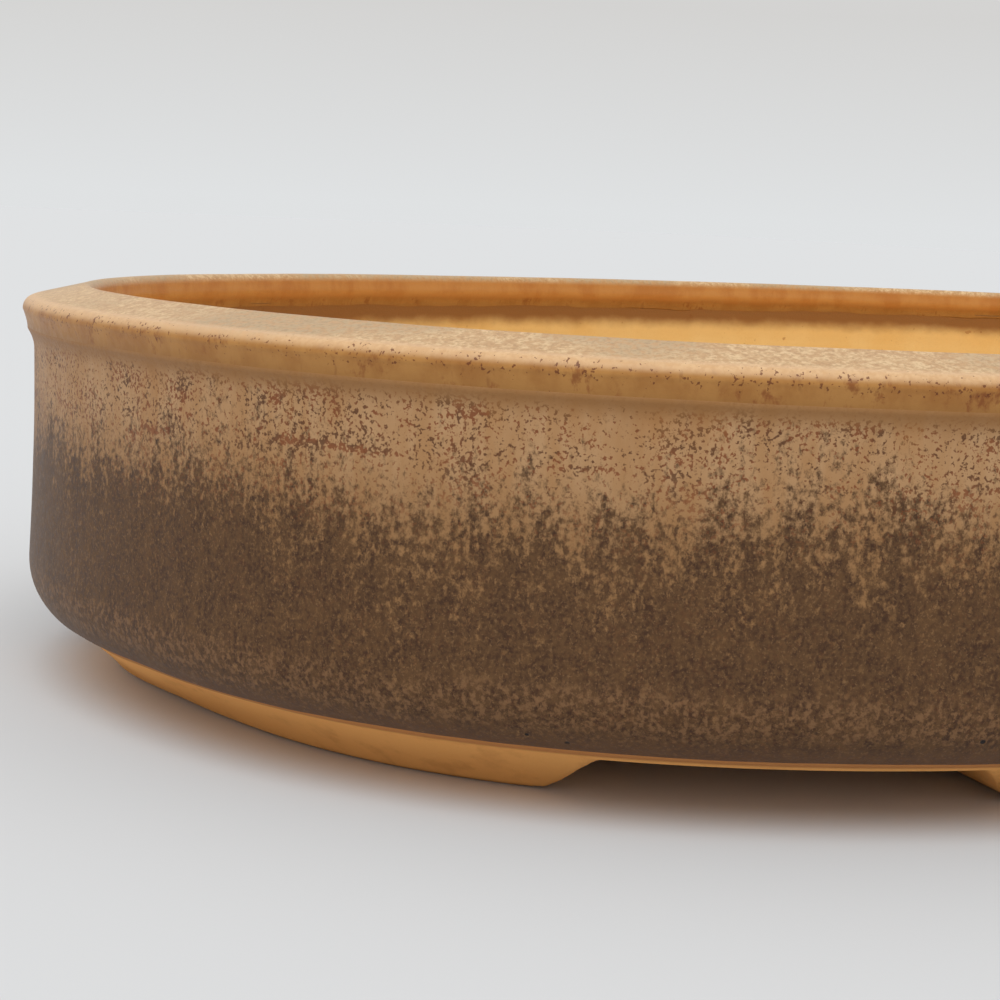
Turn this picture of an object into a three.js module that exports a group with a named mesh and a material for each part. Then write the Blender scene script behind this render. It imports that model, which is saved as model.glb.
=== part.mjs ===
// Shallow oval bonsai pot in stoneware: clay pieces luted together, then glazed outside and over the rim.
// Millimetres, +Z up. The origin is the middle of the footprint, on the surface that the feet stand on.
// +X runs along the long axis of the oval and +Y along its short axis.

import * as THREE from "three";
import { mergeVertices } from "three/addons/utils/BufferGeometryUtils.js";

// ---- Driving dimensions ----

const LENGTH = 330; // over the rim, along X
const WIDTH = 230; // over the rim, along Y
const HEIGHT = 58; // from the feet to the crest of the rim
const SQUARENESS = 2.2; // exponent of the oval in plan: 2 is an ellipse, more is squarer

const GLAZE = 0.8; // thickness of the fired glaze coats
const SLIP = 0.15; // slip line left between pieces that are luted or coated face to face

// Every profile below is drawn in (inset, z): inset is the distance inward from the rim's outer edge.
const RIM_WIDTH = 10.5; // outer edge of the rim to the inner face
const RIM_FALL = 1.9; // the rim's top slopes down outward by this much
const BAND_HEIGHT = 4.8; // the upright face of the rim, from its arris to the groove under it
const WALL_INSET = 1.8; // the rim stands proud of the wall by this much
const WALL_HOLLOW = 0.3; // the wall is this much hollow at mid height
const SHOULDER_RADIUS = 9.4; // the rounded turn from the wall to the underside
const SHOULDER_Z = 17; // height where that turn begins
const SHOULDER_END = 82; // degrees of the turn that are glazed
const INNER_FILLET = 9; // the rounded corner between the wall and the floor inside
const LIP_GLAZE = 5.6; // the glaze runs down the inner face by this much below the crest
const CREST_RADIUS = 1.5; // rounding of the rim's inner edge
const ARRIS_RADIUS = 1.2; // rounding of the two edges of the rim's upright face
const SPLIT_BELOW_GROOVE = 0.6; // the rim coil is luted to the wall this far below the groove

const FOOT_HEIGHT = 6.6;
const FLOOR_TOP = 13.5; // height of the floor inside
const FLOOR_INSET = 19; // where the floor slab meets the turned-in bottom of the wall

const FOOT_OUTER_TOP = 12.4; // insets of a foot's four long edges
const FOOT_OUTER_BOTTOM = 20.6;
const FOOT_INNER_TOP = 35;
const FOOT_INNER_BOTTOM = 33;
const FOOT_END_SLOPE = 8; // each end of a foot leans in by this much from top to bottom
const GAP_CENTRE = 0.111; // middle of the gap between two feet, as a share of the way round from +X
const GAP_LENGTH = 53; // along the rim's outer edge, at the top of the feet

const DRAIN_RADIUS = 12; // two drainage holes on the long axis
const DRAIN_SPACING = 150;
const WIRE_HOLE_RADIUS = 2.5; // four holes for the wires that tie the tree in
const WIRE_HOLE_X = 62;
const WIRE_HOLE_Y = 42;

const SEGMENTS = 56; // facets round the oval
const FOOT_STEPS = 10; // facets along one foot
const ARC_STEP = 35; // degrees, at most, between points on a rounded profile

// ---- Materials ----

const MATERIALS = {
  clay: { color: 0xd29a58, roughness: 0.9, metalness: 0 },
  wallGlaze: { color: 0x7a6048, roughness: 0.42, metalness: 0 },
  rimGlaze: { color: 0xbe9a6c, roughness: 0.35, metalness: 0 },
};

// ---- The oval in plan ----

/** The rim's outer edge seen from above. */
class RimOutline extends THREE.Curve {
  getPoint(t, target = new THREE.Vector3()) {
    const angle = 2 * Math.PI * t;
    const along = Math.cos(angle);
    const across = Math.sin(angle);
    const power = 2 / SQUARENESS;
    return target.set(
      (LENGTH / 2) * Math.sign(along) * Math.abs(along) ** power,
      (WIDTH / 2) * Math.sign(across) * Math.abs(across) ** power,
      0,
    );
  }
}

const rimOutline = new RimOutline();
rimOutline.arcLengthDivisions = 2000;
const RIM_PERIMETER = rimOutline.getLength();

/** Point at share `way` (0 to 1) round the oval, moved inward by `inset` and up to `z`. */
function placeOnOval(way, inset, z) {
  const point = rimOutline.getPointAt(((way % 1) + 1) % 1);
  const outward = new THREE.Vector2(
    (Math.sign(point.x) * Math.abs((2 * point.x) / LENGTH) ** (SQUARENESS - 1)) / LENGTH,
    (Math.sign(point.y) * Math.abs((2 * point.y) / WIDTH) ** (SQUARENESS - 1)) / WIDTH,
  ).normalize();
  return new THREE.Vector3(point.x - outward.x * inset, point.y - outward.y * inset, z);
}

// ---- Geometry helpers ----

/** Drops everything but position and merges the vertices that coincide. */
function closed(geometry) {
  geometry.deleteAttribute("normal");
  geometry.deleteAttribute("uv");
  const merged = mergeVertices(geometry, 1e-4);
  merged.computeVertexNormals();
  return merged;
}

/** Moves every vertex of a geometry to where `move(x, y, z)` says. */
function reshape(geometry, move) {
  const position = geometry.getAttribute("position");
  for (let i = 0; i < position.count; i += 1) {
    const moved = move(position.getX(i), position.getY(i), position.getZ(i));
    position.setXYZ(i, moved.x, moved.y, moved.z);
  }
  return geometry;
}

/** Turns a closed (inset, z) profile round a circle, then bends the circle to the oval. */
function ringFromProfile(profile) {
  const spinRadius = LENGTH / 2;
  const points = profile.map(([inset, z]) => new THREE.Vector2(spinRadius - inset, z));
  const spun = new THREE.LatheGeometry([...points, points[0].clone()], SEGMENTS);
  spun.rotateX(Math.PI / 2);
  return closed(
    reshape(spun, (x, y, z) => {
      const way = Math.atan2(y, x) / (2 * Math.PI);
      return placeOnOval(way, spinRadius - Math.hypot(x, y), z);
    }),
  );
}

/** Points of an arc in a profile; angles in degrees, 0 towards greater inset and 90 up. */
function arc(inset, z, radius, from, to) {
  const steps = Math.ceil(Math.abs(to - from) / ARC_STEP);
  return Array.from({ length: steps + 1 }, (_, i) => {
    const angle = THREE.MathUtils.degToRad(from + ((to - from) * i) / steps);
    return [inset + radius * Math.cos(angle), z + radius * Math.sin(angle)];
  });
}

/** Moves an open profile by `distance` to its right, which is inward where it runs upward. */
function parallel(profile, distance) {
  const normals = profile.slice(1).map(([inset, z], i) => {
    const step = new THREE.Vector2(inset - profile[i][0], z - profile[i][1]).normalize();
    return new THREE.Vector2(step.y, -step.x);
  });
  return profile.map(([inset, z], i) => {
    const before = normals[Math.max(i - 1, 0)];
    const after = normals[Math.min(i, normals.length - 1)];
    const middle = before.clone().add(after).normalize();
    const reach = distance / middle.dot(after);
    return [inset + middle.x * reach, z + middle.y * reach];
  });
}

/** The closed profile of a coat of even thickness behind its visible face. */
function coat(surface) {
  return [...surface, ...parallel(surface, GLAZE).reverse()];
}

// ---- Profiles ----

const GROOVE_Z = HEIGHT - RIM_FALL - BAND_HEIGHT;
const BODY_SPLIT = GROOVE_Z - SPLIT_BELOW_GROOVE;

/** Visible face of the rim, from the groove outside, over the crest, to the end of the glaze inside. */
const rimFace = [
  [WALL_INSET + GLAZE, GROOVE_Z],
  ...arc(ARRIS_RADIUS, GROOVE_Z + ARRIS_RADIUS, ARRIS_RADIUS, 250, 180),
  ...arc(ARRIS_RADIUS, HEIGHT - RIM_FALL - ARRIS_RADIUS, ARRIS_RADIUS, 180, 110),
  ...arc(RIM_WIDTH - CREST_RADIUS, HEIGHT - CREST_RADIUS, CREST_RADIUS, 90, 0),
  [RIM_WIDTH, HEIGHT - LIP_GLAZE],
];

/** Visible face of the wall, from where the glaze stops up to the groove under the rim. */
const wallFace = [
  ...arc(WALL_INSET + SHOULDER_RADIUS, SHOULDER_Z, SHOULDER_RADIUS, 180 + SHOULDER_END, 180),
  [WALL_INSET + WALL_HOLLOW, (GROOVE_Z + SHOULDER_Z) / 2],
  [WALL_INSET, GROOVE_Z - SLIP],
];

// ---- Pieces ----

const COAT_DEPTH = GLAZE + SLIP; // how far the clay lies behind the face of its coat
const CLAY_OUTER = WALL_INSET + COAT_DEPTH;
const CLAY_INNER = RIM_WIDTH - COAT_DEPTH;

function rimCoil() {
  const underCoat = parallel(rimFace, COAT_DEPTH);
  return ringFromProfile([
    [CLAY_OUTER, BODY_SPLIT],
    [CLAY_OUTER, underCoat[0][1]],
    ...underCoat.slice(1),
    [CLAY_INNER, BODY_SPLIT],
  ]);
}

function wall() {
  const top = BODY_SPLIT - SLIP;
  const underCoat = parallel(wallFace, COAT_DEPTH);
  return ringFromProfile([
    [FLOOR_INSET, FOOT_HEIGHT],
    [FOOT_OUTER_TOP, FOOT_HEIGHT],
    ...underCoat.slice(0, -1),
    [CLAY_OUTER, top],
    [CLAY_INNER, top],
    ...arc(CLAY_INNER + INNER_FILLET, FLOOR_TOP + INNER_FILLET, INNER_FILLET, 180, 270),
    [FLOOR_INSET, FLOOR_TOP],
  ]);
}

function hole(x, y, radius) {
  return new THREE.Path().absarc(x, y, radius, 0, 2 * Math.PI, true);
}

function floorSlab() {
  const edge = Array.from({ length: SEGMENTS }, (_, i) =>
    placeOnOval(i / SEGMENTS, FLOOR_INSET + SLIP, 0),
  );
  const outline = new THREE.Shape(edge.map((p) => new THREE.Vector2(p.x, p.y)));
  for (const side of [-1, 1]) {
    outline.holes.push(hole((side * DRAIN_SPACING) / 2, 0, DRAIN_RADIUS));
    for (const end of [-1, 1]) {
      outline.holes.push(hole(end * WIRE_HOLE_X, side * WIRE_HOLE_Y, WIRE_HOLE_RADIUS));
    }
  }
  const slab = new THREE.ExtrudeGeometry(outline, {
    depth: FLOOR_TOP - FOOT_HEIGHT,
    bevelEnabled: false,
    curveSegments: 8,
  });
  slab.translate(0, 0, FOOT_HEIGHT);
  return closed(slab);
}

/** A strip of clay bent along the oval, between two shares of the way round. */
function foot(from, to) {
  const block = new THREE.BoxGeometry(1, 1, 1, FOOT_STEPS, 1, 1);
  const lean = FOOT_END_SLOPE / RIM_PERIMETER;
  return closed(
    reshape(block, (x, y, z) => {
      const up = z + 0.5;
      const outer = THREE.MathUtils.lerp(FOOT_OUTER_BOTTOM, FOOT_OUTER_TOP, up);
      const inner = THREE.MathUtils.lerp(FOOT_INNER_BOTTOM, FOOT_INNER_TOP, up);
      const start = from + lean * (1 - up);
      const end = to - lean * (1 - up);
      return placeOnOval(
        THREE.MathUtils.lerp(start, end, x + 0.5),
        THREE.MathUtils.lerp(outer, inner, y + 0.5),
        up * (FOOT_HEIGHT - SLIP),
      );
    }),
  );
}

// ---- Assembly ----

function piece(name, geometry, material) {
  const mesh = new THREE.Mesh(geometry, new THREE.MeshStandardMaterial(material));
  mesh.name = name;
  return mesh;
}

const pot = new THREE.Group();
pot.add(piece("floor_slab", floorSlab(), MATERIALS.clay));
pot.add(piece("wall", wall(), MATERIALS.clay));
pot.add(piece("rim_coil", rimCoil(), MATERIALS.clay));
pot.add(piece("wall_glaze", ringFromProfile(coat(wallFace)), MATERIALS.wallGlaze));
pot.add(piece("rim_glaze", ringFromProfile(coat(rimFace)), MATERIALS.rimGlaze));

const halfGap = GAP_LENGTH / RIM_PERIMETER / 2;
const footSpans = {
  foot_right: [-GAP_CENTRE + halfGap, GAP_CENTRE - halfGap],
  foot_back: [GAP_CENTRE + halfGap, 0.5 - GAP_CENTRE - halfGap],
  foot_left: [0.5 - GAP_CENTRE + halfGap, 0.5 + GAP_CENTRE - halfGap],
  foot_front: [0.5 + GAP_CENTRE + halfGap, 1 - GAP_CENTRE - halfGap],
};
for (const [name, [from, to]] of Object.entries(footSpans)) {
  pot.add(piece(name, foot(from, to), MATERIALS.clay));
}

export default pot;
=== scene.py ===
"""The looks of a shallow oval bonsai pot: bare ochre stoneware, a speckled drip glaze on the wall
and a honey glaze over the rim. Shapes are worked out in millimetres and handed over in metres.

A place on the pot is given as (way, inset, z): way is the share of the way round the oval from +X,
inset the distance inward from the rim's outer edge, and z the height above the table."""

import math

import bpy
import numpy as np
from mathutils import Matrix, Vector, geometry, noise


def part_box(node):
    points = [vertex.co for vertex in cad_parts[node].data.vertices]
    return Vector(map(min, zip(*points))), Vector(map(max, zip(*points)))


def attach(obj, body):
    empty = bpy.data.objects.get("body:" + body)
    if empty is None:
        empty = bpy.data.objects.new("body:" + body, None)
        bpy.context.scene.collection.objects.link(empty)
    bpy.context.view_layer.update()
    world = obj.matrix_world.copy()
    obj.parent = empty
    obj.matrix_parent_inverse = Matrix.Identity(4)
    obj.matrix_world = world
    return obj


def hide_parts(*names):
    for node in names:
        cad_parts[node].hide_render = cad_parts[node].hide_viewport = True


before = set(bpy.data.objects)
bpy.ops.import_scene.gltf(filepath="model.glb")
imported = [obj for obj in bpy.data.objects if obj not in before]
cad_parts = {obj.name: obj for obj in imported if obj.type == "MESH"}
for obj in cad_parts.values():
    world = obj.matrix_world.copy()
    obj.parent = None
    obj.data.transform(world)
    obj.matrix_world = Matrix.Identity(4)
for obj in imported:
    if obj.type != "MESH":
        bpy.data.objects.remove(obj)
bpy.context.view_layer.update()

# ---- Camera ----

CAMERA_PLACE = (-0.3079, -0.2493, 0.0723)  # metres
CAMERA_YAW = -0.6963  # radians, and so are the next two
CAMERA_PITCH = 0.1324
CAMERA_ROLL = 0.0489
CAMERA_LENS = 79.2  # millimetres
SENSOR_WIDTH = 36.0

camera_data = bpy.data.cameras.new("camera")
camera_data.lens = CAMERA_LENS
camera_data.sensor_width = SENSOR_WIDTH
camera = bpy.data.objects.new("camera", camera_data)
camera.matrix_world = (
    Matrix.Translation(CAMERA_PLACE)
    @ Matrix.Rotation(CAMERA_YAW, 4, "Z")
    @ Matrix.Rotation(math.pi / 2 - CAMERA_PITCH, 4, "X")
    @ Matrix.Rotation(CAMERA_ROLL, 4, "Z")
)
bpy.context.scene.collection.objects.link(camera)
bpy.context.scene.camera = camera

# ---- Dimensions in millimetres, from the frame and its profiles ----

MM = 0.001
rim_low, rim_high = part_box("rim_glaze")
HALF_LENGTH = rim_high.x / MM
HALF_WIDTH = rim_high.y / MM
HEIGHT = rim_high.z / MM
GROOVE_Z = rim_low.z / MM
FLOOR_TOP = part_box("floor_slab")[1].z / MM
FOOT_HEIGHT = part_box("floor_slab")[0].z / MM
SQUARENESS = 2.2

RIM_WIDTH = 10.5
RIM_FALL = 1.9
WALL_INSET = 1.8
WALL_HOLLOW = 0.3
SHOULDER_RADIUS = 9.4
SHOULDER_Z = 17.0
INNER_FILLET = 9.0
LIP_GLAZE = 5.6
FLOOR_INSET = 19.0
COAT = 0.95  # the clay lies this far behind the face of the glaze
CREST_RADIUS = 1.5
ARRIS_RADIUS = 1.9
BAND_LEAN = 0.8  # the band's lower edge lies this much further in than its arris
BAND_EDGE = 0.55  # rounding of that lower edge
CLAY_INNER = RIM_WIDTH - COAT

FOOT_OUTER_TOP = 12.4
FOOT_OUTER_BOTTOM = 20.6
FOOT_INNER_TOP = 35.0
FOOT_INNER_BOTTOM = 33.0
FOOT_END_SLOPE = 8.0
GAP_CENTRE = 0.111  # share of the way round from an end of the oval to the middle of a gap
GAP_LENGTH = 53.0

DRAIN_RADIUS = 12.0
DRAIN_SPACING = 150.0
WIRE_HOLE_RADIUS = 2.5
WIRE_HOLE_X = 62.0
WIRE_HOLE_Y = 42.0

# ---- The oval ----


class Oval:
    """The rim's outer edge in plan, by share of the way round."""

    def __init__(self):
        angle = np.linspace(0, 2 * np.pi, 40001)
        along, across = np.cos(angle), np.sin(angle)
        power = 2 / SQUARENESS
        self.x = HALF_LENGTH * np.sign(along) * np.abs(along) ** power
        self.y = HALF_WIDTH * np.sign(across) * np.abs(across) ** power
        steps = np.hypot(np.diff(self.x), np.diff(self.y))
        self.travel = np.concatenate([[0], np.cumsum(steps)])
        self.perimeter = self.travel[-1]
        self.travel /= self.perimeter

    def place(self, way, inset):
        """x and y in millimetres, for arrays of way and inset."""
        x = np.interp(way % 1.0, self.travel, self.x)
        y = np.interp(way % 1.0, self.travel, self.y)
        out_x = np.sign(x) * (np.abs(x) / HALF_LENGTH) ** (SQUARENESS - 1) / HALF_LENGTH
        out_y = np.sign(y) * (np.abs(y) / HALF_WIDTH) ** (SQUARENESS - 1) / HALF_WIDTH
        size = np.hypot(out_x, out_y)
        return x - out_x / size * inset, y - out_y / size * inset


oval = Oval()

# ---- Small numeric helpers ----


def ease(t):
    """0 to 1 with level ends."""
    t = np.clip(t, 0.0, 1.0)
    return t * t * (3 - 2 * t)


def between(low, high, t):
    return low + (high - low) * t


def field(x, y, z, size, upright=1.0, seed=0.0):
    """Smooth noise from about -1 to 1 at points in millimetres; features are `size` across."""
    shape = np.broadcast(x, y, z).shape
    points = np.stack([np.broadcast_to(a, shape).ravel() for a in (x, y, z / upright)], 1)
    points = points / size + seed
    return np.array([noise.noise(Vector(p)) for p in points]).reshape(shape)


def wander(way, seed, waves=(3, 5, 8, 13, 21, 34)):
    """A smooth periodic curve round the oval, from about -1 to 1."""
    dice = np.random.RandomState(seed)
    total = np.zeros_like(way)
    for count in waves:
        total += np.sin(2 * np.pi * (count * way + dice.rand())) / len(waves) ** 0.5
    return total


def arc(inset, z, radius, start, end, steps):
    """Points of an arc in a profile, in degrees: 0 is towards greater inset and 90 is up."""
    angle = np.radians(np.linspace(start, end, steps))
    return [(inset + radius * math.cos(a), z + radius * math.sin(a)) for a in angle]


def line(start, end, steps):
    """Points of a straight stretch, without its two ends."""
    return [
        (between(start[0], end[0], t), between(start[1], end[1], t))
        for t in np.linspace(0, 1, steps + 2)[1:-1]
    ]


# ---- Meshes ----


def add_mesh(name, points_mm, faces, material, nodes, inset=None):
    """One piece, riding on the pot's only body and standing for the CAD nodes that it replaces."""
    mesh = bpy.data.meshes.new(name)
    mesh.from_pydata((np.asarray(points_mm) * MM).tolist(), [], faces)
    mesh.shade_smooth()
    if inset is not None:
        layer = mesh.attributes.new("inset", "FLOAT", "POINT")
        layer.data.foreach_set("value", np.asarray(inset, np.float32).ravel())
    mesh.materials.append(material)
    piece = bpy.data.objects.new(name, mesh)
    bpy.context.scene.collection.objects.link(piece)
    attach(piece, "root")
    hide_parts(*nodes)
    return piece


def grid_faces(rows, columns, close_rows=True):
    """Quads of a grid whose point (row, column) has index row * columns + column. Each row closes
    on itself."""
    row = np.arange(rows if close_rows else rows - 1)[:, None]
    column = np.arange(columns)[None, :]
    next_row = (row + 1) % rows
    next_column = (column + 1) % columns
    corners = [
        row * columns + column,
        next_row * columns + column,
        next_row * columns + next_column,
        row * columns + next_column,
    ]
    return np.stack([np.broadcast_to(c, corners[0].shape).ravel() for c in corners], 1).tolist()


def ring_points(way, inset, z):
    """One list of points from arrays of places round the oval."""
    x, y = oval.place(np.broadcast_to(way, inset.shape), inset)
    return np.stack([x, y, z], -1).reshape(-1, 3)


def add_ring(name, ways, profile, relief, material, nodes):
    """A closed ring. profile holds (inset, z) for each point, the same all round or for each way in
    turn, and runs up the outside, over the top and down the inside. relief moves it outward along
    its normal, in millimetres."""
    way = (np.arange(ways) / ways)[:, None]
    shape = np.broadcast_to(np.asarray(profile, float), (ways,) + np.asarray(profile).shape[-2:])
    inset, z = shape[..., 0], shape[..., 1]
    along = np.roll(shape, -1, 1) - np.roll(shape, 1, 1)
    length = np.maximum(np.hypot(along[..., 0], along[..., 1]), 1e-9)
    out_inset, out_z = -along[..., 1] / length, along[..., 0] / length
    x, y = oval.place(np.broadcast_to(way, inset.shape), inset)
    push = relief(np.broadcast_to(way, inset.shape), inset, z, x, y)
    inset, z = inset + out_inset * push, z + out_z * push
    points = ring_points(way, inset, z)
    faces = grid_faces(ways, inset.shape[1])
    return add_mesh(name, points, faces, material, nodes, inset)


# ---- Materials ----


class Shader:
    """A material whose patterns come from the piece's own coordinates, in millimetres."""

    def __init__(self, name):
        self.material = bpy.data.materials.new(name)
        self.material.use_nodes = True
        self.tree = self.material.node_tree
        self.surface = self.tree.nodes["Principled BSDF"]
        coordinates = self.tree.nodes.new("ShaderNodeTexCoord")
        scale = self.tree.nodes.new("ShaderNodeVectorMath")
        scale.operation = "SCALE"
        scale.inputs["Scale"].default_value = 1 / MM
        self.tree.links.new(coordinates.outputs["Object"], scale.inputs[0])
        self.place = scale.outputs[0]
        apart = self.node("ShaderNodeSeparateXYZ", {0: self.place})
        self.z = apart.outputs["Z"]

    def node(self, kind, inputs, **settings):
        made = self.tree.nodes.new(kind)
        for key, value in settings.items():
            setattr(made, key, value)
        for key, value in inputs.items():
            if isinstance(value, bpy.types.NodeSocket):
                self.tree.links.new(value, made.inputs[key])
            else:
                made.inputs[key].default_value = value
        return made

    def scaled_place(self, size, upright, shift):
        """The place in units of `size` millimetres, stretched upward by `upright`. Each shift
        gives a pattern of its own."""
        made = self.node(
            "ShaderNodeVectorMath",
            {0: self.place, 1: (1 / size, 1 / size, 1 / (size * upright)), 2: (shift,) * 3},
            operation="MULTIPLY_ADD",
        )
        return made.outputs[0]

    def noise(self, size, detail=2.0, rough=0.5, upright=1.0, shift=0.0):
        """Noise from 0 to 1 with features about `size` millimetres across."""
        place = self.scaled_place(size, upright, shift)
        inputs = {"Vector": place, "Scale": 1.0, "Detail": detail, "Roughness": rough}
        return self.node("ShaderNodeTexNoise", inputs).outputs["Fac"]

    def cells(self, size, shift=0.0):
        """Distance to the nearest of many scattered points, and a random colour for each."""
        place = self.scaled_place(size, 1.0, shift)
        made = self.node("ShaderNodeTexVoronoi", {"Vector": place, "Scale": 1.0})
        return made.outputs["Distance"], made.outputs["Color"]

    def math(self, operation, a, b=0.0, c=0.0):
        return self.node("ShaderNodeMath", {0: a, 1: b, 2: c}, operation=operation).outputs[0]

    def times(self, a, b):
        return self.math("MULTIPLY", a, b)

    def plus(self, value, pattern, weight):
        """value with a weighted pattern added."""
        return self.math("MULTIPLY_ADD", pattern, weight, value)

    def swing(self, value, pattern, amount):
        """value moved up and down by a pattern from 0 to 1, over `amount` in all."""
        return self.plus(value, self.math("SUBTRACT", pattern, 0.5), amount)

    def level(self, value, low, high, to_low=0.0, to_high=1.0):
        """Takes low..high smoothly to to_low..to_high and holds the ends."""
        made = self.node(
            "ShaderNodeMapRange",
            {0: value, 1: low, 2: high, 3: to_low, 4: to_high},
            interpolation_type="SMOOTHSTEP",
        )
        return made.outputs[0]

    def band(self, value, start, full, fade, end):
        """1 between full and fade, 0 outside start..end."""
        rise = self.level(value, start, full)
        return self.times(rise, self.level(value, fade, end, 1.0, 0.0))

    def mix(self, factor, a, b):
        made = self.node("ShaderNodeMix", {}, data_type="RGBA")
        for key, value in ((0, factor), (6, a), (7, b)):
            if isinstance(value, bpy.types.NodeSocket):
                self.tree.links.new(value, made.inputs[key])
            elif key == 0:
                made.inputs[key].default_value = value
            else:
                made.inputs[key].default_value = (*value, 1.0)
        return made.outputs[2]

    def attribute(self, name):
        return self.node("ShaderNodeAttribute", {}, attribute_name=name).outputs["Fac"]

    def finish(self, colour, roughness, height, depth_mm, specular):
        """Joins the patterns to the surface. height is 0 to 1 over depth_mm of real relief."""
        self.tree.links.new(colour, self.surface.inputs["Base Color"])
        if isinstance(roughness, bpy.types.NodeSocket):
            self.tree.links.new(roughness, self.surface.inputs["Roughness"])
        else:
            self.surface.inputs["Roughness"].default_value = roughness
        self.surface.inputs["Specular IOR Level"].default_value = specular
        relief = {"Height": height, "Strength": 1.0, "Distance": depth_mm * MM}
        bump = self.node("ShaderNodeBump", relief)
        self.tree.links.new(bump.outputs[0], self.surface.inputs["Normal"])
        return self.material


def srgb(red, green, blue):
    """A linear colour from its 8-bit display values."""
    return tuple(
        (v / 12.92 if v <= 0.04045 else ((v + 0.055) / 1.055) ** 2.4)
        for v in (red / 255, green / 255, blue / 255)
    )


def clay_material():
    s = Shader("bare_clay")
    broad = s.noise(38, detail=3, rough=0.55)
    cloud = s.noise(9, detail=3, rough=0.5, shift=3.1)
    grain = s.noise(0.5, detail=3, rough=0.7, shift=7.7)
    grit = s.noise(1.6, detail=1, rough=0.4, shift=5.2)
    colour = s.mix(s.level(broad, 0.35, 0.65), srgb(233, 196, 130), srgb(229, 187, 116))
    colour = s.mix(s.level(cloud, 0.42, 0.72, 0.0, 0.5), colour, srgb(236, 202, 138))
    colour = s.mix(s.level(grain, 0.52, 0.8, 0.0, 0.3), colour, srgb(210, 160, 96))
    colour = s.mix(s.level(grit, 0.74, 0.8, 0.0, 0.5), colour, srgb(158, 100, 52))

    # The feet and the underside are a little redder, with brown stains.
    low = s.level(s.z, 8.5, 12.0, 0.9, 0.0)
    colour = s.mix(low, colour, srgb(238, 172, 98))
    stain = s.noise(5.0, detail=4, rough=0.6, shift=1.9)
    colour = s.mix(s.times(low, s.level(stain, 0.5, 0.72, 0.0, 0.3)), colour, srgb(176, 112, 58))

    # A browner band on the bare clay just under the glaze's edge.
    under_glaze_band = s.band(s.z, 6.9, 7.5, 8.7, 9.6)
    colour = s.mix(s.times(under_glaze_band, 0.75), colour, srgb(170, 108, 62))

    # The inside is darker brown just under the glazed lip, fading downward.
    edge = s.noise(7.0, detail=3, rough=0.55, upright=0.8, shift=4.8)
    edge_z = s.swing(s.z, edge, 2.4)
    colour = s.mix(s.level(edge_z, 46.8, 50.2, 0.0, 0.92), colour, srgb(132, 82, 38))
    height = s.math("ADD", s.times(grain, 0.5), s.times(cloud, 0.5))
    return s.finish(colour, 0.86, height, depth_mm=0.12, specular=0.2)


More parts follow.
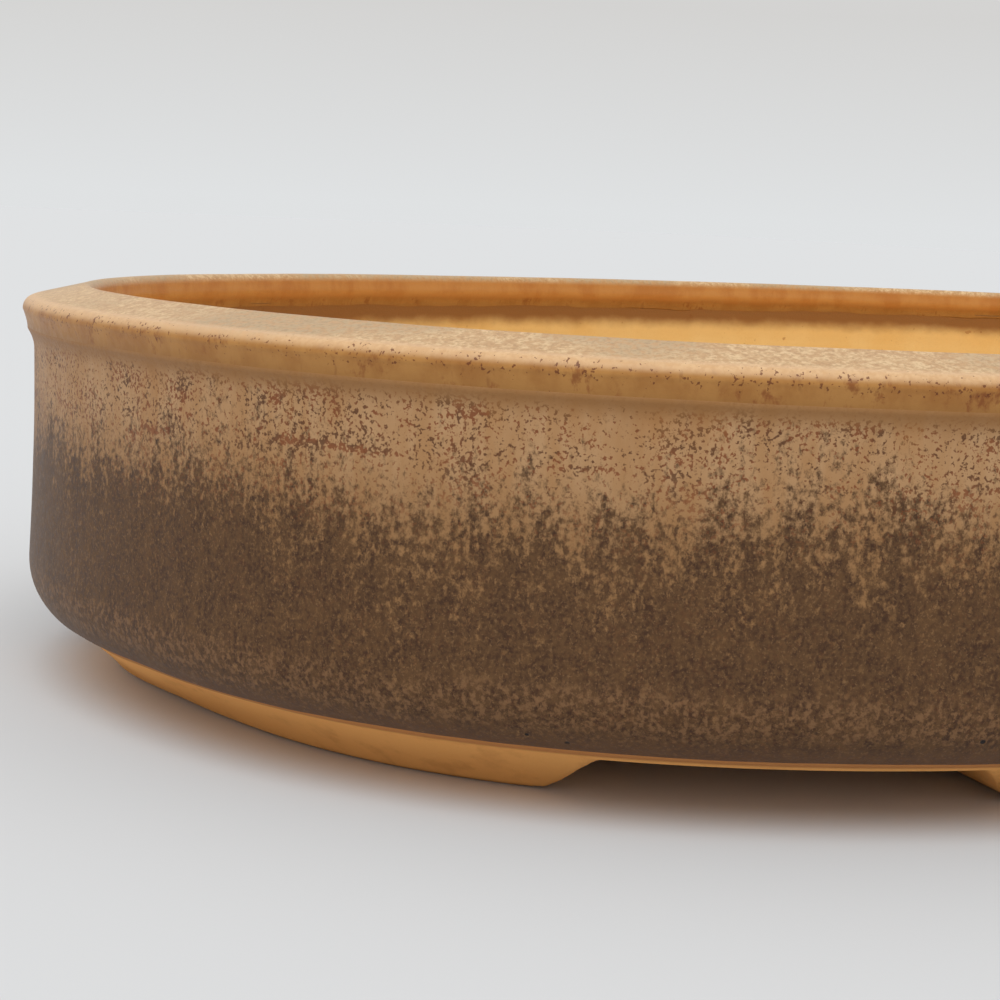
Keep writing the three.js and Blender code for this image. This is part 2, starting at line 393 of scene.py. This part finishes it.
def wall_glaze_material():
    s = Shader("wall_glaze")
    z = s.z
    patch = s.noise(24, detail=2, rough=0.5, upright=0.8)
    streak = s.noise(3.4, detail=3, rough=0.58, upright=3.8, shift=2.3)
    fleck = s.noise(0.82, detail=4, rough=0.7, upright=1.3, shift=9.1)
    mottle = s.noise(0.55, detail=3, rough=0.65, upright=1.15, shift=4.4)
    cloud = s.noise(2.6, detail=3, rough=0.6, upright=1.3, shift=6.6)

    # How far the pale glaze covers the brown: nearly all at the top, little in the lower half.
    cover = s.level(z, 22.0, 51.0, -0.60, 0.56)
    cover = s.swing(cover, patch, 0.9)
    cover = s.swing(cover, streak, 1.25)
    cover = s.swing(cover, fleck, 2.6)
    pale_cover = s.level(cover, -0.34, 0.34)

    # The two glazes, the brown one with sandy motes and a lighter band low down.
    pale = s.mix(s.level(streak, 0.35, 0.7), srgb(178, 139, 98), srgb(165, 122, 78))
    pale = s.mix(s.level(z, 31.0, 46.0, 0.85, 0.0), pale, srgb(140, 102, 62))
    brown = s.mix(s.level(mottle, 0.36, 0.64), srgb(62, 36, 15), srgb(90, 62, 34))
    brown = s.mix(s.level(cloud, 0.40, 0.68, 0.0, 0.5), brown, srgb(100, 69, 37))
    mote = s.noise(0.8, detail=3, rough=0.65, upright=1.1, shift=13.7)
    brown = s.mix(s.level(mote, 0.54, 0.70, 0.0, 0.6), brown, srgb(122, 88, 52))
    sand = s.noise(0.36, detail=2, rough=0.6, shift=17.3)
    brown = s.mix(s.level(sand, 0.56, 0.72, 0.0, 0.5), brown, srgb(134, 101, 66))
    low_band = s.band(s.swing(z, patch, 6.0), 10.5, 13.0, 15.5, 18.5)
    brown = s.mix(
        s.times(low_band, s.level(mote, 0.44, 0.62, 0.0, 0.75)), brown, srgb(126, 91, 59)
    )
    brown = s.mix(s.level(z, 8.5, 12.5, 0.6, 0.0), brown, srgb(98, 66, 42))
    colour = s.mix(pale_cover, brown, pale)

    # Iron specks, thickest along two wavering lines and in drifts between them.
    sway = s.noise(26, detail=2, rough=0.5, shift=1.7)
    line_z = s.swing(z, sway, 9.0)
    upper_line = s.band(line_z, 46.8, 48.4, 49.9, 51.2)
    lower_line = s.times(s.band(line_z, 41.9, 42.5, 42.9, 43.5), 2.0)
    gaps = s.level(s.noise(14, detail=2, shift=8.8), 0.42, 0.56)
    drift = s.level(s.noise(11, detail=2, upright=0.7, shift=5.9), 0.3, 0.7)
    crowd = s.times(s.math("MAXIMUM", upper_line, lower_line), gaps)
    limit = s.plus(0.606, crowd, -0.06)
    limit = s.plus(limit, drift, -0.085)
    speck = s.noise(0.5, detail=2.5, rough=0.6, shift=0.4)
    over = s.math("SUBTRACT", speck, limit)
    below_rim = s.level(z, 49.8, 51.0, 1.0, 0.35)
    specks = s.times(s.level(over, -0.03, 0.06), below_rim)
    specks = s.times(specks, s.level(z, 31.0, 45.0, 0.1, 1.0))
    speck_hue = s.noise(2.2, detail=1, shift=3.3)
    speck_colour = s.mix(s.level(speck_hue, 0.4, 0.62), srgb(118, 58, 22), srgb(78, 40, 14))
    colour = s.mix(s.times(specks, 0.85), colour, speck_colour)

    # Honey runs from under the rim, and the olive glaze gathered beneath it, darkened there as
    # painted shade under the rim.
    run = s.noise(4.5, detail=3, rough=0.5, upright=5.0, shift=12.2)
    run = s.times(s.level(run, 0.46, 0.66), s.level(z, 44.0, 50.0))
    colour = s.mix(s.times(run, 0.45), colour, srgb(160, 108, 54))
    # Olive glaze pooled in the corner under the rim, with painted shade of the overhang on it.
    colour = s.mix(s.level(z, 48.4, 51.2, 0.0, 0.8), colour, srgb(150, 104, 56))
    colour = s.mix(s.level(z, 8.3, 9.3, 0.45, 0.0), colour, srgb(140, 88, 54))

    # A few pinholes low on the wall, painted near-black as the shade inside each pit.
    hole, hole_colour = s.cells(3.4, shift=2.9)
    chosen = s.level(hole_colour, 0.56, 0.6)
    pin = s.times(s.level(hole, 0.07, 0.12, 1.0, 0.0), chosen)
    pin = s.times(pin, s.band(z, 9.5, 10.5, 13.0, 14.0))
    colour = s.mix(pin, colour, srgb(24, 14, 10))

    height = s.plus(s.times(cloud, 0.3), fleck, 0.4)
    height = s.plus(height, specks, -0.12)
    height = s.plus(height, pin, -1.0)
    rough = s.level(mottle, 0.3, 0.7, 0.44, 0.58)
    return s.finish(colour, rough, height, depth_mm=0.09, specular=0.28)


def rim_glaze_material():
    s = Shader("rim_glaze")
    z = s.z
    inset = s.attribute("inset")
    grain = s.noise(0.55, detail=3, rough=0.65, shift=4.1)
    mottle = s.noise(1.1, detail=4, rough=0.68, shift=6.1)
    patch = s.noise(30, detail=2, rough=0.5, shift=1.2)
    run = s.noise(5.0, detail=4, rough=0.6, upright=1.6, shift=2.8)
    fine_run = s.noise(1.3, detail=2, rough=0.5, upright=3.0, shift=9.9)

    # The sloping top: cream and tan grains, greyer in drifts.
    top = s.mix(s.level(mottle, 0.38, 0.62), srgb(190, 148, 99), srgb(219, 187, 142))
    top = s.mix(s.level(grain, 0.46, 0.66, 0.0, 0.7), top, srgb(172, 131, 86))
    grey = s.times(s.level(patch, 0.46, 0.6), s.level(mottle, 0.38, 0.58))
    top = s.mix(s.times(grey, 0.6), top, srgb(160, 136, 104))

    # The upright band: honey with rusty stains, painted highlight at the arris, olive brown below
    # with painted shade.
    band = s.mix(s.level(run, 0.36, 0.64), srgb(178, 126, 64), srgb(162, 108, 49))
    # Olive brown towards the band's lower edge: partly the glaze's own tone, partly painted shade
    # where the face leans in.
    band = s.mix(s.level(z, 51.4, 53.6, 0.6, 0.0), band, srgb(144, 99, 46))
    stain = s.noise(1.9, detail=4, rough=0.7, upright=1.7, shift=7.3)
    group = s.noise(9.0, detail=2, rough=0.5, shift=5.4)
    stain = s.times(s.level(stain, 0.5, 0.66), s.level(group, 0.46, 0.62))
    band = s.mix(s.times(stain, 0.75), band, srgb(126, 64, 18))
    band = s.mix(s.level(fine_run, 0.64, 0.76, 0.0, 0.4), band, srgb(124, 72, 28))
    outer = s.level(z, 54.4, 56.2)
    colour = s.mix(outer, band, top)
    # Painted highlight along the outer arris, over glaze that is also a little paler where it runs
    # thin there.
    arris_highlight = s.band(z, 54.4, 55.5, 56.0, 56.6)
    on_outside = s.level(inset, 1.4, 3.0, 1.0, 0.0)
    colour = s.mix(s.times(arris_highlight, s.times(on_outside, 0.55)), colour, srgb(226, 184, 138))

    # Dark iron specks along the arris and scattered on the band.
    speck = s.noise(0.55, detail=2.5, rough=0.6, upright=1.2, shift=11.3)
    thick = s.times(s.band(z, 52.4, 54.0, 55.2, 56.3), s.level(group, 0.36, 0.58, 0.45, 1.0))
    limit = s.plus(0.72, thick, -0.125)
    specks = s.times(s.level(s.math("SUBTRACT", speck, limit), -0.01, 0.04), on_outside)
    colour = s.mix(s.times(specks, 0.8), colour, srgb(98, 43, 10))

    # Inside: the glaze thins to brown where it stops.
    inner = s.level(inset, 9.7, 10.3)
    inner_colour = s.mix(s.level(run, 0.35, 0.65), srgb(196, 138, 72), srgb(184, 122, 58))
    edge_z = s.swing(z, run, 2.0)
    inner_colour = s.mix(s.level(edge_z, 51.8, 54.4, 0.95, 0.0), inner_colour, srgb(130, 80, 36))
    colour = s.mix(s.times(inner, s.level(z, 56.3, 57.6, 1.0, 0.0)), colour, inner_colour)

    height = s.plus(s.times(mottle, 0.4), grain, 0.4)
    height = s.plus(height, specks, -0.15)
    rough = s.level(mottle, 0.3, 0.7, 0.36, 0.5)
    return s.finish(colour, rough, height, depth_mm=0.06, specular=0.32)


clay = clay_material()
wall_glaze = wall_glaze_material()
rim_glaze = rim_glaze_material()

# ---- The wall's glaze ----

GLAZE_WAYS = 900  # points round the oval in both glazes
WALL_RUN = GROOVE_Z - SHOULDER_Z
GLAZE_END = 69.0  # degrees of the shoulder's turn where the glaze stops
LEFT_END = 57.0  # degrees where it stops near the left end
LEFT_FROM, LEFT_TO = 0.38, 0.535  # shares of the way round between which it stops higher up
THIN_FROM = 58.0  # degrees where it starts to thin
EDGE_THIN = 0.5  # how much thinner it is at its edge
EDGE_DROP, EDGE_DEPTH = 0.22, 0.28  # the rounded edge itself, down the wall and into it
CORNER_DROP = 3.2  # glaze gathers in the corner under the rim, over this much of the wall
CORNER_DEPTH = 0.95  # and stands this far out of it at the top


def sway(x, y, z):
    """How far the hand-worked body stands in or out, in millimetres."""
    return 0.16 * field(x, y, z, 46, upright=0.8) + 0.05 * field(x, y, z, 15, upright=0.6, seed=4.0)


def wall_place(s, depth):
    """(inset, z) at s millimetres down the wall's face from the groove, depth behind the face."""
    angle = np.maximum(s - WALL_RUN, 0) / SHOULDER_RADIUS
    radius = SHOULDER_RADIUS - depth
    hollow = WALL_HOLLOW * np.sin(np.pi * np.clip(s / WALL_RUN, 0, 1))
    inset = WALL_INSET + hollow + SHOULDER_RADIUS - radius * np.cos(angle)
    z = SHOULDER_Z - radius * np.sin(angle) + np.maximum(WALL_RUN - s, 0)
    return np.stack([inset, z], -1)


def wall_at(degrees):
    """The millimetres down the wall's face to a point of the shoulder's turn."""
    return WALL_RUN + SHOULDER_RADIUS * np.radians(degrees)


def glaze_wall():
    """The coat outside: gathered under the rim, thinning to a wandering rounded edge below."""
    ways = GLAZE_WAYS
    way = (np.arange(ways) / ways)[:, None]
    higher = ease((way - LEFT_FROM) / 0.05) * ease((LEFT_TO - way) / 0.045) * (GLAZE_END - LEFT_END)
    end = wall_at(GLAZE_END - higher)
    end = end + 0.4 * wander(way, 11) + 0.15 * wander(way, 5, (55, 89, 120))
    thin_from = wall_at(THIN_FROM - higher)
    top_rows = between(-0.5, CORNER_DROP, np.linspace(0, 1, 13)[:-1] ** 1.2)
    face = np.concatenate(
        [
            np.broadcast_to(top_rows, (ways, top_rows.size)),
            between(CORNER_DROP, thin_from, np.linspace(0, 1, 46)),
            between(thin_from, end, np.linspace(0.12, 1, 8)),
        ],
        1,
    )
    gather = -CORNER_DEPTH * (1 - np.clip(face / CORNER_DROP, 0, 1)) ** 2.2
    taper = EDGE_THIN * ease((face - thin_from) / (end - thin_from))
    bead = np.radians(np.linspace(15, 90, 5))
    bead_s = end + EDGE_DROP * np.sin(bead)
    bead_depth = np.broadcast_to(EDGE_THIN + EDGE_DEPTH * (1 - np.cos(bead)), bead_s.shape)
    behind = between(end - 0.6, -0.4, np.linspace(0, 1, 10))
    behind_depth = np.full_like(behind, COAT + 0.12)
    s = np.concatenate([face, bead_s, behind], 1)
    depth = np.concatenate([gather + taper, bead_depth, behind_depth], 1)
    profile = wall_place(s, depth)[:, ::-1]
    faded = ease((s - 0.4) / 3.0)[:, ::-1]

    def relief(way, inset, z, x, y):
        """Stands with the body, with pooled glaze and long drips on it."""
        drips = np.clip(wander(way, 31, (23, 37, 53, 71)), 0, None) * ease((z - 36) / 14)
        pooled = 0.05 * field(x, y, z, 6, upright=3.0, seed=9.0)
        return faded * (sway(x, y, z) + pooled + 0.10 * drips)

    return add_ring("glaze_wall", ways, profile, relief, wall_glaze, ["wall_glaze"])


# ---- The rim's glaze ----

LIP_OVERRUN = 0.55  # the glaze runs this much further down inside than the CAD's
LIP_THIN = 0.9  # how much thinner it is where it stops
LIP_BEAD = 0.2  # rounding of its edge there
SMOOTH_FROM = 54.5  # height where the finger rings of the inside have died away


def throwing(x, y, z):
    """Faint finger rings on the inside of the wall."""
    rings = 0.07 * np.sin(z * 2 * np.pi / 5.3 + 1.2 * np.sin(z * 0.31))
    return rings + 0.08 * field(x, y, z, 18, upright=0.5, seed=5.0)


def throwing_below_rim(x, y, z):
    return throwing(x, y, z) * ease((SMOOTH_FROM - z) / 2)


def glaze_rim():
    """The coat over the rim: a leaning band, a soft arris, a sloping top and a thinning lip."""
    ways = GLAZE_WAYS
    way = (np.arange(ways) / ways)[:, None]
    arris_top = HEIGHT - RIM_FALL - ARRIS_RADIUS
    crest = RIM_WIDTH - CREST_RADIUS
    outside = (
        # the hidden step into the wall, the band and its edges
        [(WALL_INSET + 1.1, GROOVE_Z + 0.05), (BAND_LEAN + BAND_EDGE + 0.3, GROOVE_Z)]
        + arc(BAND_LEAN + BAND_EDGE, GROOVE_Z + BAND_EDGE, BAND_EDGE, 262, 194, 6)
        + line((BAND_LEAN, GROOVE_Z + BAND_EDGE), (0, arris_top), 5)
        + arc(ARRIS_RADIUS, arris_top, ARRIS_RADIUS, 184, 102, 11)
    )
    top = line(outside[-1], (crest, HEIGHT), 12)
    top += arc(crest, HEIGHT - CREST_RADIUS, CREST_RADIUS, 96, 0, 9)
    end = HEIGHT - LIP_GLAZE - LIP_OVERRUN
    end = end + 0.2 * wander(way, 17) + 0.08 * wander(way, 8, (47, 66, 91))
    fall = np.linspace(0, 1, 13)[1:]
    lip_z = between(HEIGHT - CREST_RADIUS, end, fall)
    thin = LIP_THIN * ease((fall - 0.35) / 0.65)
    lip = np.stack([np.broadcast_to(RIM_WIDTH - thin, lip_z.shape), lip_z], -1)
    bead = np.radians(np.linspace(25, 90, 4))
    bead_z = end - LIP_BEAD * np.sin(bead)
    bead_inset = np.broadcast_to(RIM_WIDTH - LIP_THIN - LIP_BEAD * (1 - np.cos(bead)), bead_z.shape)
    hidden = [
        (CLAY_INNER - 0.15, HEIGHT - LIP_GLAZE + 1.6),
        (CLAY_INNER - 0.15, HEIGHT - COAT - CREST_RADIUS),
        (crest, HEIGHT - COAT - 0.12),
        (COAT + 1.2, HEIGHT - RIM_FALL - COAT - 0.1),
        (COAT + 0.12, arris_top),
        (COAT + BAND_LEAN, GROOVE_Z + ARRIS_RADIUS),
    ]
    fixed = np.array(outside + top)
    profile = np.concatenate(
        [
            np.broadcast_to(fixed, (ways,) + fixed.shape),
            lip,
            np.stack([bead_inset, bead_z], -1),
            np.broadcast_to(np.array(hidden), (ways, len(hidden), 2)),
        ],
        1,
    )

    def relief(way, inset, z, x, y):
        """Ripples outside and on top, which pass into the finger rings inside."""
        rippled = 0.10 * field(x, y, z, 34, seed=2.0) + 0.04 * field(x, y, z, 9, seed=6.0) - 0.12
        on_band = ease((z - GROOVE_Z) / 1.5) * rippled
        on_lip = between(rippled, throwing_below_rim(x, y, z), ease((HEIGHT - 1.5 - z) / 2))
        return np.where(inset > RIM_WIDTH - 3, on_lip, on_band)

    return add_ring("glaze_rim", ways, profile, relief, rim_glaze, ["rim_glaze"])


# ---- The clay body ----

COVERED_TO = 44  # degrees of the shoulder's turn down to which the clay lies behind the glaze
SHOWN_FROM, SHOWN_TO = 48, 84  # degrees between which it comes out from behind it
UNDER_EDGE = 0.62  # the clay's depth behind the glaze's face at the first of them
BARE_DEPTH = 0.08  # and at the last
FLOOR_EDGE = 17.2  # inset of the floor slab's edge, which lies under the wall's fillet
FLOOR_GRID = 3.4  # distance between the points of its surface
HOLE_EDGE = 1.1  # rounding of the holes' edges
DRAIN_POINTS = 72
WIRE_HOLE_POINTS = 28


def clay_rim():
    """The rim coil, covered by the glaze and, lower down inside, by the wall's own face."""
    crest = RIM_WIDTH - CREST_RADIUS
    profile = (
        [(COAT + 0.02 + WALL_INSET, GROOVE_Z - 0.6)]
        + line((WALL_INSET + COAT + 0.02, GROOVE_Z), (COAT + BAND_LEAN, GROOVE_Z + 1.3), 2)
        + line((COAT + BAND_LEAN, GROOVE_Z + 1.4), (COAT + 0.5, HEIGHT - RIM_FALL - 1.8), 3)
        + line((COAT + 1.2, HEIGHT - RIM_FALL - COAT), (crest, HEIGHT - COAT), 5)
        + arc(crest, HEIGHT - CREST_RADIUS, CREST_RADIUS - COAT, 85, 0, 5)
        + line((CLAY_INNER, HEIGHT - CREST_RADIUS - 0.2), (CLAY_INNER, GROOVE_Z + 0.3), 9)
        + [(CLAY_INNER - 0.05, GROOVE_Z), (CLAY_INNER - 0.6, GROOVE_Z - 0.6)]
    )

    def relief(way, inset, z, x, y):
        return np.where(inset > RIM_WIDTH / 2, throwing_below_rim(x, y, z) - 0.02, -0.05)

    return add_ring("clay_rim", 500, profile, relief, clay, ["rim_coil"])


def floor_relief(x, y):
    """Faint tool marks on the floor, following the oval."""
    spread = np.sqrt((x / HALF_LENGTH) ** 2 + (y / HALF_WIDTH) ** 2)
    rings = 0.10 * np.sin(spread * 2 * np.pi * 11 + 0.7 * field(x, y, 0 * x, 40, seed=3.0))
    return (rings + 0.12 * field(x, y, 0 * x, 24, seed=8.0)) * ease((0.84 - spread) / 0.12)


def clay_wall():
    """The wall from its flat underside, up behind the glaze, and down inside to the floor."""
    bottom = FOOT_HEIGHT
    middle = 15.5  # inset of the middle of the underside
    top = GROOVE_Z - 0.75
    seam = GROOVE_Z + 1.2  # the inner face reaches up over the rim coil's, behind the glaze
    hidden = wall_place(np.linspace(GROOVE_Z - top, wall_at(COVERED_TO), 9), COAT)
    shown_at = np.linspace(SHOWN_FROM, SHOWN_TO, 18)
    shown_depth = between(UNDER_EDGE, BARE_DEPTH, ease((shown_at - 62) / 16))
    shown = wall_place(wall_at(shown_at), shown_depth)
    outside = np.concatenate([hidden, shown])[::-1]
    under = line((FLOOR_INSET, bottom + 0.15), (middle, bottom), 3)
    under += line((middle, bottom), (FOOT_OUTER_TOP, bottom), 3)
    turn = arc(FOOT_OUTER_TOP, bottom + 0.35, 0.35, 268, 205, 4)
    inside = [
        (CLAY_INNER - 0.6, top),
        (CLAY_INNER - 0.03, seam),
        (CLAY_INNER, seam - 0.03),
        (CLAY_INNER, seam - 0.12),
        *line((CLAY_INNER, seam - 0.3), (CLAY_INNER, FLOOR_TOP + INNER_FILLET), 26),
        *arc(CLAY_INNER + INNER_FILLET, FLOOR_TOP + INNER_FILLET, INNER_FILLET, 180, 270, 16),
        (FLOOR_INSET - 0.3, FLOOR_TOP - 0.01),
        (FLOOR_INSET, FLOOR_TOP - 0.05),
        (FLOOR_INSET + 0.05, FLOOR_TOP - 0.3),
    ]
    profile = np.array([(FLOOR_INSET, bottom + 0.2)] + under + turn + outside.tolist() + inside)

    def relief(way, inset, z, x, y):
        on_outside = (inset < CLAY_INNER - 0.3) | (z < FLOOR_TOP - 2)
        shared = sway(x, y, z) * ease((z - bottom) / 3)
        rings = throwing(x, y, z) * ease((z - FLOOR_TOP - 1.5) / 6)
        rings = rings + floor_relief(x, y) * ease((FLOOR_TOP + 6 - z) / 5)
        return np.where(on_outside, shared, rings)

    return add_ring("clay_wall", 640, profile, relief, clay, ["wall"])


# Each hole's x, y, radius and number of points.
HOLES = [(side * DRAIN_SPACING / 2, 0.0, DRAIN_RADIUS, DRAIN_POINTS) for side in (-1, 1)] + [
    (end * WIRE_HOLE_X, side * WIRE_HOLE_Y, WIRE_HOLE_RADIUS, WIRE_HOLE_POINTS)
    for side in (-1, 1)
    for end in (-1, 1)
]


def hole_clearance(x, y):
    """Distance from the nearest hole's wall; negative inside a hole."""
    return np.min([np.hypot(x - hx, y - hy) - r for hx, hy, r, _ in HOLES], 0)


def floor_sheet(outline):
    """A flat triangulation of the floor's plan: its points, its triangles, and the loop of points
    on each hole."""
    half_x, half_y = np.max(outline, 0)

    def spread(x, y):
        """1 on the outline and less inside it."""
        return (np.abs(x) / half_x) ** SQUARENESS + (np.abs(y) / half_y) ** SQUARENESS

    points = [tuple(p) for p in outline]
    edges = [(i, (i + 1) % len(outline)) for i in range(len(outline))]
    loops = []
    for hx, hy, radius, count in HOLES:
        edge = min(HOLE_EDGE, radius * 0.3)
        for reach in (0.0, 0.08, 0.25, 0.5, 1.0):
            first = len(points)
            size = radius + edge * reach
            angle = np.arange(count) * 2 * np.pi / count
            points += [(hx + size * math.cos(a), hy + size * math.sin(a)) for a in angle]
            edges += [(first + i, first + (i + 1) % count) for i in range(count)]
            if reach == 0.0:
                loops.append(list(range(first, first + count)))
    grid_x, grid_y = np.meshgrid(
        np.arange(-HALF_LENGTH, HALF_LENGTH, FLOOR_GRID),
        np.arange(-HALF_WIDTH, HALF_WIDTH, FLOOR_GRID * 0.866),
    )
    grid_x[1::2] += FLOOR_GRID / 2
    for x, y in zip(grid_x.ravel(), grid_y.ravel()):
        if spread(x, y) < 0.97 and hole_clearance(x, y) > HOLE_EDGE + 0.8:
            points.append((float(x), float(y)))
    made, _, faces, *_ = geometry.delaunay_2d_cdt([Vector(p) for p in points], edges, [], 0, 1e-4)
    made = np.array([tuple(p) for p in made])
    centre_x, centre_y = np.array([made[list(f)].mean(0) for f in faces]).T
    keep = (hole_clearance(centre_x, centre_y) > 0) & (spread(centre_x, centre_y) <= 1.02)
    return made, [list(f) for f, kept in zip(faces, keep) if kept], loops


def clay_floor():
    """The floor slab, with rounded drainage and wire holes and its edge under the wall's fillet."""
    count = 420
    way = np.arange(count) / count
    x, y = oval.place(way, np.full(count, FLOOR_EDGE))
    sheet, faces, loops = floor_sheet(list(zip(x.tolist(), y.tolist())))
    clear = np.clip(hole_clearance(sheet[:, 0], sheet[:, 1]), 0, HOLE_EDGE)
    drop = HOLE_EDGE - np.sqrt(np.maximum(HOLE_EDGE**2 - (HOLE_EDGE - clear) ** 2, 0))
    relief = floor_relief(sheet[:, 0], sheet[:, 1])
    top = np.column_stack([sheet, FLOOR_TOP - 0.03 + relief - drop])
    under = np.column_stack([sheet, FOOT_HEIGHT + 0.03 + 0.5 * np.abs(relief) + drop * 0.7])
    total = len(sheet)
    points = np.concatenate([top, under])
    faces = faces + [[i + total for i in reversed(f)] for f in faces]
    for loop, inward in [(list(range(count)), False)] + [(loop, True) for loop in loops]:
        for a, b in zip(loop, loop[1:] + loop[:1]):
            if inward:
                faces.append([b, a, a + total, b + total])
            else:
                faces.append([a + total, b + total, b, a])
    return add_mesh("clay_floor", points, faces, clay, ["floor_slab"])


FOOT_TOP = 1.12  # a foot's outer side runs up into the wall to this share of its height
FOOT_EDGE = 0.12  # share of its height taken by the rounded edges of the tread
TREAD_ROLL = 0.9  # how far the edges turn in under it
END_SOFTNESS = 0.512  # rounding where the tread turns up into the sweep of an end
FLARE_TOP = 3.2  # a flared foot stands further out by this at its top
FLARE_BOTTOM = 5.0  # and by this at its tread
FLARE_RISE = 0.9  # and runs this much further up into the wall


def clay_foot(name, node, start, end, flared=False):
    """A strip foot: slanted outer face, flat tread with rounded edges, and ends that sweep up.
    A flared one stands further out over the part of it that lies before the left end."""
    steps = 260
    way = np.linspace(start, end, steps)[:, None]
    along = (way - start) * oval.perimeter
    back = (end - way) * oval.perimeter
    run = FOOT_END_SLOPE + 1.6
    reach = np.minimum(along, back)
    t = np.clip(reach / run, 0, 1)
    lift = (FOOT_HEIGHT + 0.1) * (1 - (0.72 * t + 0.28 * ease(t)))
    soft = END_SOFTNESS * np.exp(-(((reach - run) / 2.4) ** 2))
    lift = np.clip(lift + soft, 0, None)
    turn = np.radians(np.linspace(20, 90, 6))
    up = np.concatenate([np.linspace(FOOT_TOP, FOOT_EDGE, 13), FOOT_EDGE * np.cos(turn)])
    spread = ease((0.505 - way) / 0.03) * flared
    kick = ease((0.485 - way) / 0.045) * flared
    outer_top = FOOT_OUTER_TOP - FLARE_TOP * spread
    outer = between(FOOT_OUTER_BOTTOM - FLARE_BOTTOM * kick, outer_top, up)
    outer = outer + 0.55 * np.clip(1 - up, 0, 1) ** 2 * up * 4
    rolled = np.where(up < FOOT_EDGE, (FOOT_EDGE - up) / FOOT_EDGE, 0) ** 2 * TREAD_ROLL
    outer = outer + rolled
    inner = np.broadcast_to(between(FOOT_INNER_BOTTOM, FOOT_INNER_TOP, up) - rolled, outer.shape)
    tread = np.linspace(0, 1, 10)[1:-1]
    under = between(outer[:, -1:], inner[:, -1:], tread)
    inset = np.concatenate([outer, under, inner[:, ::-1]], 1)
    height = np.concatenate([up, 0 * tread, np.minimum(up[::-1], 1)]) * (FOOT_HEIGHT + 0.12)
    raised = np.concatenate([up**3, 0 * tread, 0 * up]) * FLARE_RISE * spread
    z = np.maximum(height[None, :] + raised, np.minimum(lift, FOOT_HEIGHT + 0.1))
    z = np.broadcast_to(z, inset.shape)
    x, y = oval.place(np.broadcast_to(way, inset.shape), inset)
    wobble = 0.12 * field(x, y, z, 14, seed=7.0)
    wobble = wobble * ease(z / 2) * ease((FOOT_HEIGHT - z) / 1.5 + 0.3)
    points = ring_points(way, inset + wobble, z)
    columns = inset.shape[1]
    faces = grid_faces(steps, columns, close_rows=False)
    faces.append(list(range(columns)))
    faces.append(list(range((steps - 1) * columns, steps * columns))[::-1])
    return add_mesh(name, points, faces, clay, [node])


glaze_wall()
glaze_rim()
clay_rim()
clay_wall()
clay_floor()
half_gap = GAP_LENGTH / oval.perimeter / 2
# From an end of the oval to the near and the far side of the gap next to it.
short, long = GAP_CENTRE - half_gap, GAP_CENTRE + half_gap
clay_foot("clay_foot_right", "foot_right", -short, short)
clay_foot("clay_foot_back", "foot_back", long, 0.5 - long)
clay_foot("clay_foot_left", "foot_left", 0.5 - short, 0.5 + short, flared=True)
clay_foot("clay_foot_front", "foot_front", 0.5 + long, 1 - long)

# ---- Table and light ----

TABLE_HALF = 6.0  # metres
TABLE_LEVEL = -0.00004  # just clear of the treads
TABLE_COLOUR = (0.668, 0.678, 0.686)
# Colours of the surround from the horizon (0) to straight up (1).
SURROUND = [
    (0.0, (0.742, 0.757, 0.765)),
    (0.09, (0.655, 0.650, 0.640)),
    (0.20, (0.70, 0.70, 0.70)),
    (0.80, (0.82, 0.82, 0.82)),
]
LAMP_STRENGTH = 1.25
LAMP_SPREAD = 50  # degrees
LAMP_DIRECTION = (0.5, 0.42, -1.0)


def table_top():
    """A plain pale table, far larger than the view."""
    corners = [(-1, -1), (1, -1), (1, 1), (-1, 1)]
    points = [(x * TABLE_HALF, y * TABLE_HALF, TABLE_LEVEL) for x, y in corners]
    mesh = bpy.data.meshes.new("table")
    mesh.from_pydata(points, [], [(0, 1, 2, 3)])
    material = bpy.data.materials.new("table")
    material.use_nodes = True
    surface = material.node_tree.nodes["Principled BSDF"]
    surface.inputs["Base Color"].default_value = (*TABLE_COLOUR, 1.0)
    surface.inputs["Roughness"].default_value = 0.9
    surface.inputs["Specular IOR Level"].default_value = 0.0
    mesh.materials.append(material)
    table = bpy.data.objects.new("table", mesh)
    bpy.context.scene.collection.objects.link(table)


def soft_light():
    """An even pale surround, brighter overhead, and one broad soft lamp from the upper left."""
    world = bpy.data.worlds.new("studio")
    world.use_nodes = True
    tree = world.node_tree
    background = tree.nodes["Background"]
    coordinates = tree.nodes.new("ShaderNodeTexCoord")
    apart = tree.nodes.new("ShaderNodeSeparateXYZ")
    tree.links.new(coordinates.outputs["Generated"], apart.inputs[0])
    ramp = tree.nodes.new("ShaderNodeValToRGB")
    tree.links.new(apart.outputs["Z"], ramp.inputs[0])
    tree.links.new(ramp.outputs[0], background.inputs["Color"])
    elements = ramp.color_ramp.elements
    while len(elements) < len(SURROUND):
        elements.new(0.5)
    for element, (at, colour) in zip(elements, SURROUND):
        element.position = at
        element.color = (*colour, 1.0)
    bpy.context.scene.world = world

    lamp_data = bpy.data.lights.new("key", "SUN")
    lamp_data.energy = LAMP_STRENGTH
    lamp_data.angle = math.radians(LAMP_SPREAD)
    lamp = bpy.data.objects.new("key", lamp_data)
    lamp.rotation_euler = Vector(LAMP_DIRECTION).to_track_quat("-Z", "Y").to_euler()
    bpy.context.scene.collection.objects.link(lamp)


table_top()
soft_light()
bpy.context.scene.view_settings.view_transform = "Standard"
